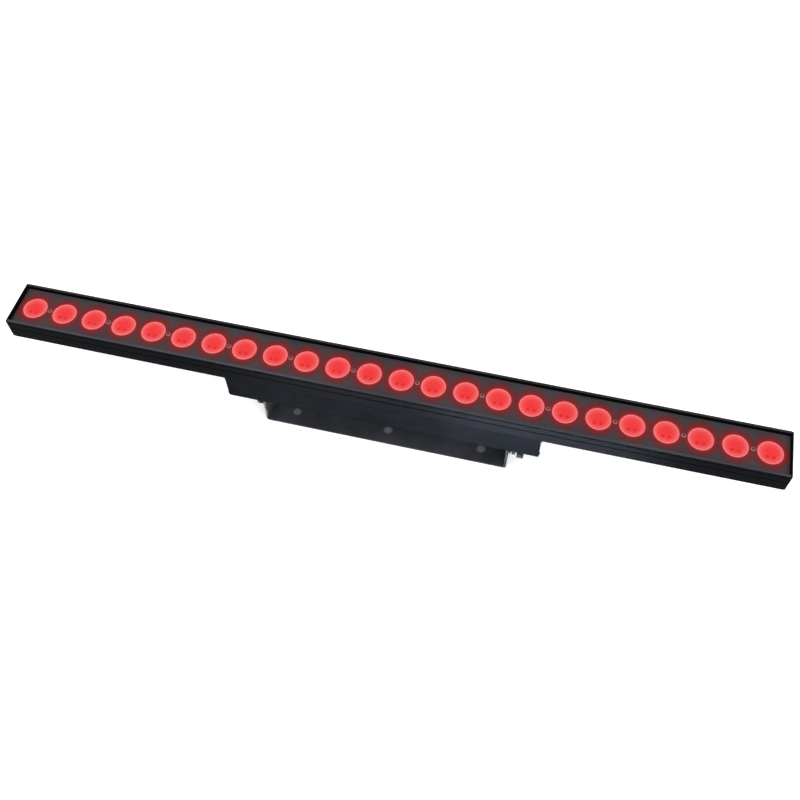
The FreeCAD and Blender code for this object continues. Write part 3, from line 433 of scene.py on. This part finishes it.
def zone(node, low, high, colour):
    """A box of a node in a colour of its own, from corners in millimetres measured from
    the node's lowest corner."""
    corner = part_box(node)[0]
    ends = [tuple(corner[i] + end[i] * MM for i in range(3)) for end in (low, high)]
    return (*ends, colour)


WORN = linear(74, 77, 84)
BARE_PLUG = linear(206, 203, 192)
SWITCH_BLACK = linear(24, 24, 26)
# the display, the switches and the plug headers
CONTROL_ZONES = [
    zone("control_board", (46.4, 10.7, 2.9), (80.6, 18.5, 19.1), linear(34, 8, 9)),
    zone("control_board", (0.0, 10.7, 7.9), (41.0, 18.5, 14.1), SWITCH_BLACK),
    zone("control_board", (-0.1, -0.1, 1.9), (87.1, 8.9, 21.1), BARE_PLUG),
]
# the plugs, the heat sink, the coils and the capacitors
DRIVER_ZONES = [
    zone("driver_board", (-0.1, -0.1, 5.65), (8.2, 42.1, 16.1), linear(46, 120, 74)),
    zone("driver_board", (17.9, -0.1, 5.65), (48.1, 42.1, 16.1), linear(160, 162, 166)),
    zone("driver_board", (53.4, -0.1, 5.65), (62.6, 42.1, 16.1), linear(160, 92, 48)),
    zone("driver_board", (64.9, -0.1, 5.65), (73.1, 42.1, 16.1), linear(28, 34, 66)),
]
# the data leads, the signal lead and the supply lead
LEAD_ZONES = [
    zone("wiring_harness", (-0.1, 28.4, 16.9), (369.1, 31.9, 20.4), linear(120, 122, 126)),
    zone("wiring_harness", (-0.1, 31.0, 4.4), (369.1, 33.6, 7.0), linear(206, 205, 198)),
    zone("wiring_harness", (128.0, 22.4, 1.8), (247.0, 26.2, 5.6), linear(150, 34, 28)),
]
YOKE_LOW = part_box("yoke_bracket")[0]
# the box at the front edge of the yoke's left arm, where a pale highlight is painted on its coat
ARM_EDGE_HIGHLIGHT = ((YOKE_LOW.x + 0.5 * MM, YOKE_LOW.y - 0.1 * MM, YOKE_LOW.z + 12 * MM),
          (YOKE_LOW.x + 2.4 * MM, YOKE_LOW.y + 9 * MM, YOKE_LOW.z + 45 * MM))
FINISHES = {
    "steel_black": coat("steel_black", linear(42, 44, 50), WORN, 0.05, 0.55),
    "bolt_black": metal("bolt_black", linear(44, 44, 47), 0.42),
    "knob_plastic": moulded("knob_plastic", linear(16, 16, 17), 0.5, 0.22),
    "washer_fibre": fibre_finish(),
    "rail_anodised": rail_finish(),
    "face_plate_coat": face_finish(),
    "screw_bright": metal("screw_bright", linear(118, 112, 112), 0.42),
    "lens_red": lens_finish(),
    "led_board_white": board_finish("led_board_white", linear(228, 228, 222),
                                    linear(206, 204, 192)),
    "led_package": emitter_finish(),
    "housing_coat": coat("housing_coat", linear(16, 18, 21), WORN, 0.004, 0.5),
    "supply_case": supply_finish(),
    "circuit_board": board_finish("circuit_board", linear(18, 66, 40), linear(60, 118, 70),
                                  CONTROL_ZONES + DRIVER_ZONES),
    "panel_plastic": moulded("panel_plastic", linear(22, 22, 24), 0.36, 0.3, 0.4 * MM,
                             0.006 * MM),
    "button_plastic": moulded("button_plastic", linear(52, 53, 56), 0.45),
    "socket_blue": moulded("socket_blue", linear(24, 78, 150), 0.4),
    "socket_grey": moulded("socket_grey", linear(196, 197, 195), 0.42),
    "socket_black": moulded("socket_black", linear(19, 19, 20), 0.42, 0.3),
    "latch_metal": metal("latch_metal", linear(196, 194, 188), 0.3),
    "lead_sleeve": moulded("lead_sleeve", linear(26, 25, 25), 0.48, 0.3, zones=LEAD_ZONES),
}
YOKE_COAT = coat("yoke_black", linear(51, 53, 58), WORN, 0.02, 0.55, highlight_box=ARM_EDGE_HIGHLIGHT)
END_COAT = coat("end_black", linear(12, 13, 17), WORN, 0.010, 0.5)
FACE_SCREW = face_screw_finish()
OWN_FINISHES = {
    "yoke_bracket": YOKE_COAT, "end_plate_left": END_COAT, "end_plate_right": END_COAT,
    "bottom_cover": FINISHES["housing_coat"], "housing_end_left": FINISHES["housing_coat"],
    "housing_end_right": FINISHES["housing_coat"], "face_plate_screws": FACE_SCREW,
}
CONTACT = metal("contact_brass", linear(214, 184, 120), 0.26).material
LIT = digit_finish("digit_lit", (0.95, 0.05, 0.035, 1), (0.20, 0.01, 0.01, 1)).material
UNLIT = digit_finish("digit_unlit", (0.004, 0.001, 0.001, 1), (0.03, 0.006, 0.006, 1)).material
MARK = moulded("button_mark", linear(206, 207, 208), 0.5).material

for node_name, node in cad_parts.items():
    for index, packed in enumerate(node.data.materials):
        finish = OWN_FINISHES.get(node_name, FINISHES[packed.name])
        node.data.materials[index] = finish.material

# ---------------------------------------------------------------- rounded edges


def round_edges(name, width, clamp=False):
    """Rounds a CAD node's sharp edges a little, so that they catch the light. Clamped, the
    rounding stays smaller than the mesh's short edges, where it would overlap itself."""
    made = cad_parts[name]
    weld = made.modifiers.new("weld", "WELD")
    weld.merge_threshold = 0.002 * MM
    bevel = made.modifiers.new("round", "BEVEL")
    bevel.width = width
    bevel.segments = 2
    bevel.limit_method = "ANGLE"
    bevel.angle_limit = radians(50)
    bevel.use_clamp_overlap = clamp
    smooth = made.modifiers.new("shade", "WEIGHTED_NORMAL")
    smooth.keep_sharp = False
    smooth.weight = 80


CLAMPED = ("end_plate_left", "end_plate_right", "driver_housing")
for name, width in {
    "led_rail": 0.3, "end_plate_left": 0.3, "end_plate_right": 0.3, "driver_housing": 0.4,
    "bottom_cover": 0.3, "housing_end_left": 0.3, "housing_end_right": 0.3,
    "yoke_bracket": 0.4, "lug_left": 0.3, "lug_right": 0.3, "face_plate": 0.15,
    "knob_left": 0.7, "knob_right": 0.7, "friction_washers": 0.12, "control_panel": 0.15,
}.items():
    round_edges(name, width * MM, clamp=name in CLAMPED)

# ---------------------------------------------------------------- helpers for new pieces


def piece(name, mesh, materials, body="fixture", at=(0, 0, 0), stands_for=()):
    """Puts a mesh in the scene as a piece that rides on a body."""
    made = bpy.data.objects.new(name, mesh)
    bpy.context.scene.collection.objects.link(made)
    made.location = at
    if not mesh.materials:
        for material in materials:
            mesh.materials.append(material)
    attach(made, body)
    if stands_for:
        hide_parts(*stands_for)
    return made


def finished(shape, name, smooth_below=None):
    """A bmesh written out as a mesh, smooth where faces meet under that angle."""
    bmesh.ops.recalc_face_normals(shape, faces=shape.faces)
    mesh = bpy.data.meshes.new(name)
    shape.to_mesh(mesh)
    shape.free()
    if smooth_below is not None:
        mesh.shade_smooth()
        mesh.set_sharp_from_angle(angle=radians(smooth_below))
    return mesh


# ---------------------------------------------------------------- the lenses


def lens_mesh():
    """A collimator: its cone and flange below, and above a lip round a shallow dome that
    is covered with rings of small pillows."""
    sectors = 72
    pillow_rings = 4
    pillow_height = 0.10 * MM
    ring_wide = 3.3 * MM
    steps = 4
    rim = pillow_rings * ring_wide
    dome_rise = 0.45 * MM
    sunk = 0.05 * MM
    flange = 17 * MM
    flange_top = -1.5 * MM
    flange_bottom = -4 * MM
    cone_top = LENS_RADIUS - 0.5 * MM
    cone_foot = 7 * MM
    cone_bulge = 0.9 * MM
    pocket = 4 * MM
    pocket_edge = 5.4 * MM
    pocket_middle = 5.8 * MM
    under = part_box(LENS_NAMES[0])[0].z - FACE_LEVEL
    shape = bmesh.new()

    def ring(radius, height_at):
        points = []
        for i in range(sectors):
            turn = 2 * pi * i / sectors
            points.append(shape.verts.new((radius * cos(turn), radius * sin(turn),
                                           height_at(turn))))
        return points

    def join(inner, outer):
        for i in range(sectors):
            j = (i + 1) % sectors
            shape.faces.new((inner[i], outer[i], outer[j], inner[j]))

    def pillow(radius):
        count = 6 * (min(int(radius / ring_wide), pillow_rings - 1) + 1)
        across = 2 * (radius / ring_wide % 1) - 1
        fall = -dome_rise * (radius / rim) ** 2

        def height(turn):
            along = 2 * (turn * count / (2 * pi) % 1) - 1
            return fall - sunk + pillow_height * (1 - across ** 2) * (1 - along ** 2)
        return height

    def level(height):
        return lambda turn: height

    centre = shape.verts.new((0, 0, -sunk))
    rings = []
    for i in range(1, pillow_rings * steps):
        radius = ring_wide * i / steps
        rings.append(ring(radius, pillow(radius)))
    trough = -dome_rise - 0.2 * MM
    for radius, height in ((rim, -dome_rise - sunk), (rim + 0.35 * MM, trough),
                           (rim + 0.8 * MM, trough), (rim + 1.1 * MM, -0.2 * MM),
                           (rim + 1.35 * MM, -0.02 * MM), (rim + 1.7 * MM, 0),
                           (rim + 2.1 * MM, 0), (LENS_RADIUS - 0.08 * MM, -0.12 * MM),
                           (LENS_RADIUS, -0.4 * MM), (LENS_RADIUS, flange_top),
                           (flange, flange_top), (flange, flange_bottom),
                           (cone_top, flange_bottom)):
        rings.append(ring(radius, level(height)))
    for share in (0.25, 0.5, 0.75, 1.0):
        flare = cone_top * (1 - share) + cone_foot * share
        bulge = cone_bulge * sin(pi * share)
        rings.append(ring(flare + bulge, level(flange_bottom * (1 - share) + under * share)))
    rings.append(ring(pocket, level(under)))
    rings.append(ring(pocket, level(under + pocket_edge)))
    floor = shape.verts.new((0, 0, under + pocket_middle))
    for i in range(sectors):
        j = (i + 1) % sectors
        shape.faces.new((centre, rings[0][i], rings[0][j]))
        shape.faces.new((floor, rings[-1][j], rings[-1][i]))
    for inner, outer in zip(rings, rings[1:]):
        join(inner, outer)
    return finished(shape, "lens", 38)


lens_shape = lens_mesh()
for name in LENS_NAMES:
    piece(name + "_optic", lens_shape, [FINISHES["lens_red"].material],
          at=(middle(name).x, middle(name).y, FACE_LEVEL), stands_for=[name])

# ---------------------------------------------------------------- display and buttons


def raised(shape, loop, back, front, soft):
    """Adds a plate whose outline is a loop of (across, upward) points, seen from +Y: its
    back and front are Y levels, and the border of its front is rounded."""
    rings = []
    for level in (back, front):
        rings.append([shape.verts.new((-across, level, upward)) for across, upward in loop])
    shape.faces.new(rings[0])
    shape.faces.new(rings[1])
    for i in range(len(loop)):
        j = (i + 1) % len(loop)
        shape.faces.new((rings[0][i], rings[0][j], rings[1][j], rings[1][i]))
    border = [edge for edge in shape.edges if all(vert in rings[1] for vert in edge.verts)]
    bmesh.ops.bevel(shape, geom=border, offset=soft, segments=2, profile=0.5, affect="EDGES")


def bar_loop(start, end, wide):
    """The outline of a display segment: a bar with pointed ends."""
    along = (Vector(end) - Vector(start)).normalized() * wide / 2
    side = Vector((-along.y, along.x))
    first, last = Vector(start), Vector(end)
    return [tuple(point) for point in (first, first + along + side, last - along + side, last,
                                       last - along - side, first + along - side)]


DISPLAY_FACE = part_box("control_board")[1].y
DISPLAY_PLACE = (-20 * MM, 88 * MM)
SEGMENT_PROUD = 0.15 * MM
SEGMENT_WIDE = 0.95 * MM
SEGMENT_GAP = 0.12 * MM
MARK_PROUD = 0.12 * MM
# how far a digit or a mark goes into the face that it stands on
SUNK = 0.1 * MM
DIGIT_WIDE = 4.8 * MM
DIGIT_TALL = 5.0 * MM
DIGIT_STEP = 7.8 * MM
SEGMENTS = {
    "top": ((-0.5, 1), (0.5, 1)), "middle": ((-0.5, 0), (0.5, 0)),
    "bottom": ((-0.5, -1), (0.5, -1)), "upper_left": ((-0.5, 0), (-0.5, 1)),
    "upper_right": ((0.5, 0), (0.5, 1)), "lower_left": ((-0.5, -1), (-0.5, 0)),
    "lower_right": ((0.5, -1), (0.5, 0)),
}
ZERO = {"top", "bottom", "upper_left", "upper_right", "lower_left", "lower_right"}
ONE = {"upper_right", "lower_right"}


def segment_loops(lit):
    """The outlines of every segment of the four digits that is lit, or that isn't."""
    loops = []
    for place, on in enumerate((set(), ZERO, ZERO, ONE)):
        middle_x = DISPLAY_PLACE[0] + (place - 1.5) * DIGIT_STEP
        for name, ends in SEGMENTS.items():
            if (name in on) != lit:
                continue
            start, end = [Vector((middle_x + x * DIGIT_WIDE, DISPLAY_PLACE[1] + z * DIGIT_TALL))
                          for x, z in ends]
            gap = (end - start).normalized() * SEGMENT_GAP
            loops.append(bar_loop(start + gap, end - gap, SEGMENT_WIDE))
    return loops


for name, lit, material, slot in (("display_lit", True, LIT, "led_package"),
                                  ("display_unlit", False, UNLIT, "panel_plastic")):
    shape = bmesh.new()
    for loop in segment_loops(lit):
        raised(shape, loop, DISPLAY_FACE - SUNK, DISPLAY_FACE + SEGMENT_PROUD, 0.08 * MM)
    piece(name, finished(shape, name, 30), [material])

MARKS = {
    "button_menu": [[(-1.7, z - 0.28), (1.7, z - 0.28), (1.7, z + 0.28), (-1.7, z + 0.28)]
                    for z in (-1.15, 0.0, 1.15)],
    "button_down": [[(-1.6, 0.9), (0.0, -1.5), (1.6, 0.9)]],
    "button_up": [[(-1.6, -0.9), (1.6, -0.9), (0.0, 1.5)]],
    "button_enter": [[(-1.8, -0.3), (-0.7, -1.3), (-0.7, -0.6), (1.7, -0.6), (1.7, 1.3),
                      (1.1, 1.3), (1.1, 0.0), (-0.7, 0.0), (-0.7, 0.7)]],
}
for name, loops in MARKS.items():
    centre = middle(name)
    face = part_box(name)[1].y
    shape = bmesh.new()
    for loop in loops:
        outline = [(x * MM - centre.x, z * MM + centre.z) for x, z in loop]
        raised(shape, outline, face - SUNK, face + MARK_PROUD, 0.06 * MM)
    piece(name + "_mark", finished(shape, name + "_mark", 30), [MARK], body=name)

# ---------------------------------------------------------------- the sockets' contacts

CONTACT_TURNS = (90, 210, 330)
CONTACT_CIRCLE = 5 * MM


def turned(shape, place, profile, hollow=False):
    """Adds a body of revolution about a line along X: (depth, radius) points measured
    from a place. A hollow one joins its last ring to its first, and a full one is capped."""
    sectors = 24
    rings = []
    for depth, radius in profile:
        ring = []
        for i in range(sectors):
            turn = 2 * pi * i / sectors
            ring.append(shape.verts.new((place.x + depth, place.y + radius * cos(turn),
                                         place.z + radius * sin(turn))))
        rings.append(ring)
    if hollow:
        rings.append(rings[0])
    else:
        shape.faces.new(rings[0])
        shape.faces.new(rings[-1])
    for inner, outer in zip(rings, rings[1:]):
        for i in range(sectors):
            j = (i + 1) % sectors
            shape.faces.new((inner[i], inner[j], outer[j], outer[i]))


def strip(shape, place, inward, degrees):
    """Adds a curved contact on a mains socket's centre post."""
    steps = 8
    half_angle = radians(24)
    front_and_back = (1.5 * MM, 10.5 * MM)
    inside_and_outside = (4.4 * MM, 4.85 * MM)
    corners = []
    for depth in front_and_back:
        level = place.x + inward * depth
        for radius in inside_and_outside:
            row = []
            for i in range(steps + 1):
                turn = radians(degrees) + half_angle * (2 * i / steps - 1)
                row.append(shape.verts.new((level, place.y + radius * cos(turn),
                                            place.z + radius * sin(turn))))
            corners.append(row)
    low_in, low_out, high_in, high_out = corners
    before = set(shape.faces)
    for first, second in ((low_in, low_out), (low_out, high_out), (high_out, high_in),
                          (high_in, low_in)):
        for i in range(steps):
            shape.faces.new((first[i], first[i + 1], second[i + 1], second[i]))
    for i in (0, steps):
        shape.faces.new((low_in[i], low_out[i], high_out[i], high_in[i]))
    added = [face for face in shape.faces if face not in before]
    bmesh.ops.recalc_face_normals(shape, faces=added)
    sharp = {edge for face in added for edge in face.edges
             if edge.calc_face_angle(0) > radians(40)}
    bmesh.ops.bevel(shape, geom=list(sharp), offset=0.12 * MM, segments=2, profile=0.5,
                    affect="EDGES")


def contacts(node, side, add):
    """Puts contacts in a socket: add(shape, place, inward, degrees) makes each of three."""
    low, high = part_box(node)
    mouth = Vector((low.x if side < 0 else high.x, middle(node).y, middle(node).z))
    shape = bmesh.new()
    for degrees in CONTACT_TURNS:
        add(shape, mouth, -side, degrees)
    piece(node + "_contacts", finished(shape, node + "_contacts", 35), [CONTACT])


def on_circle(place, degrees):
    """A data contact's place, on a circle round its socket's axis."""
    return place + CONTACT_CIRCLE * Vector((0, cos(radians(degrees)), sin(radians(degrees))))


def pin(shape, place, inward, degrees):
    """Adds a round-nosed pin that covers the CAD's plain one."""
    profile = [(13.95, 1.24), (2.0, 1.24), (1.75, 1.18), (1.55, 0.98), (1.42, 0.66), (1.36, 0.3)]
    turned(shape, on_circle(place, degrees),
           [(inward * depth * MM, radius * MM) for depth, radius in profile])


def tube(shape, place, inward, degrees):
    """Adds a springy tube that lines a contact hole."""
    profile = [(0.4, 1.27), (9.5, 1.27), (9.5, 0.95), (0.7, 0.95), (0.45, 1.08)]
    turned(shape, on_circle(place, degrees),
           [(inward * depth * MM, radius * MM) for depth, radius in profile], hollow=True)


for node, side, add in (("power_inlet", -1, strip), ("power_outlet", 1, strip),
                        ("data_input", -1, pin), ("data_output", 1, tube)):
    contacts(node, side, add)

# ---------------------------------------------------------------- floor, light and camera


def sheet(name, half_long, half_wide, level, material):
    """A flat rectangle of the stage."""
    shape = bmesh.new()
    corners = [(-half_long, -half_wide), (half_long, -half_wide), (half_long, half_wide),
               (-half_long, half_wide)]
    shape.faces.new([shape.verts.new((x, y, level)) for x, y in corners])
    mesh = finished(shape, name)
    mesh.materials.append(material)
    made = bpy.data.objects.new(name, mesh)
    bpy.context.scene.collection.objects.link(made)


floor_paint = Paint("floor_paper", Roughness=0.9, Specular_IOR_Level=0.1)
floor_grain = floor_paint.noise(4 * MM, 2)
floor_paint.set("Base Color", floor_paint.mix(floor_grain, (0.86, 0.86, 0.86, 1),
                                              (0.88, 0.88, 0.88, 1)))
floor_paint.set("Emission Color", floor_paint.mix(floor_grain, (0.40, 0.40, 0.40, 1),
                                                  (0.42, 0.42, 0.42, 1)))
floor_paint.set("Emission Strength", 1.0)
sheet("floor", 12, 12, -0.3 * MM, floor_paint.material)

# a grey card of painted shade that lies hidden under the yoke's base and shows only in its three
# holes, as the shade there
shade_card_paint = Paint("shade_card_grey", Roughness=0.8, Specular_IOR_Level=0.1)
shade_card_grain = shade_card_paint.noise(3 * MM, 2)
shade_card_paint.set("Base Color", shade_card_paint.mix(shade_card_grain, (0.135, 0.150, 0.170, 1),
                                            (0.180, 0.195, 0.215, 1)))
sheet("shade_card", 140 * MM, 13 * MM, -0.15 * MM, shade_card_paint.material)


def softbox(name, place, aim, wide, tall, power, colour=(1, 1, 1), spread=180):
    """A soft rectangular light at a place, facing a point, with its spread in degrees."""
    light = bpy.data.lights.new(name, "AREA")
    light.shape = "RECTANGLE"
    light.size = wide
    light.size_y = tall
    light.energy = power
    light.color = colour
    light.spread = radians(spread)
    made = bpy.data.objects.new(name, light)
    made.location = place
    made.rotation_mode = "QUATERNION"
    made.rotation_quaternion = (Vector(aim) - Vector(place)).to_track_quat("-Z", "Y")
    made.visible_camera = False
    bpy.context.scene.collection.objects.link(made)


# the main light, a weaker one from the right, and two strips low in front, facing the floor
softbox("key_light", (-0.9, -0.5, 2.3), (0, 0, 0.1), 2.0, 1.6, 32)
softbox("fill_light", (1.5, -1.1, 1.7), (0.1, 0, 0.1), 1.4, 1.2, 20)
softbox("sheen_light", (0.21, -0.135, 0.07), (0.21, -0.135, 0), 0.28, 0.04, 1.7,
        (0.74, 0.82, 1.0), 95)
softbox("low_light", (0.0, -0.16, 0.09), (0.0, -0.16, 0), 0.42, 0.05, 1.35,
        (0.85, 0.90, 1.0), 100)

world = bpy.data.worlds.new("studio")
world.use_nodes = True
sky = world.node_tree.nodes["Background"]
sky.inputs["Color"].default_value = (1.0, 1.0, 1.0, 1)
sky.inputs["Strength"].default_value = 0.75
bpy.context.scene.world = world
bpy.context.scene.view_settings.view_transform = "Standard"

CAMERA_PLACE = Vector((0.20044, -0.65664, 1.1737))
CAMERA_AZIMUTH = radians(12.93)
CAMERA_ELEVATION = radians(55.72)
CAMERA_ROLL = radians(0.20)
camera_data = bpy.data.cameras.new("camera")
camera_data.lens = 44.5
camera_data.sensor_width = 36
camera_data.shift_x = -0.0298
camera_data.shift_y = -0.0485
camera_data.clip_start = 0.01
camera = bpy.data.objects.new("camera", camera_data)
back = Vector((sin(CAMERA_AZIMUTH) * cos(CAMERA_ELEVATION),
               -cos(CAMERA_AZIMUTH) * cos(CAMERA_ELEVATION), sin(CAMERA_ELEVATION)))
right = Vector((cos(CAMERA_AZIMUTH), sin(CAMERA_AZIMUTH), 0))
up = back.cross(right)
rolled_right = right * cos(CAMERA_ROLL) + up * sin(CAMERA_ROLL)
rolled_up = up * cos(CAMERA_ROLL) - right * sin(CAMERA_ROLL)
turn = Matrix((rolled_right, rolled_up, back)).transposed()
camera.matrix_world = Matrix.Translation(CAMERA_PLACE) @ turn.to_4x4()
bpy.context.scene.collection.objects.link(camera)
bpy.context.scene.camera = camera
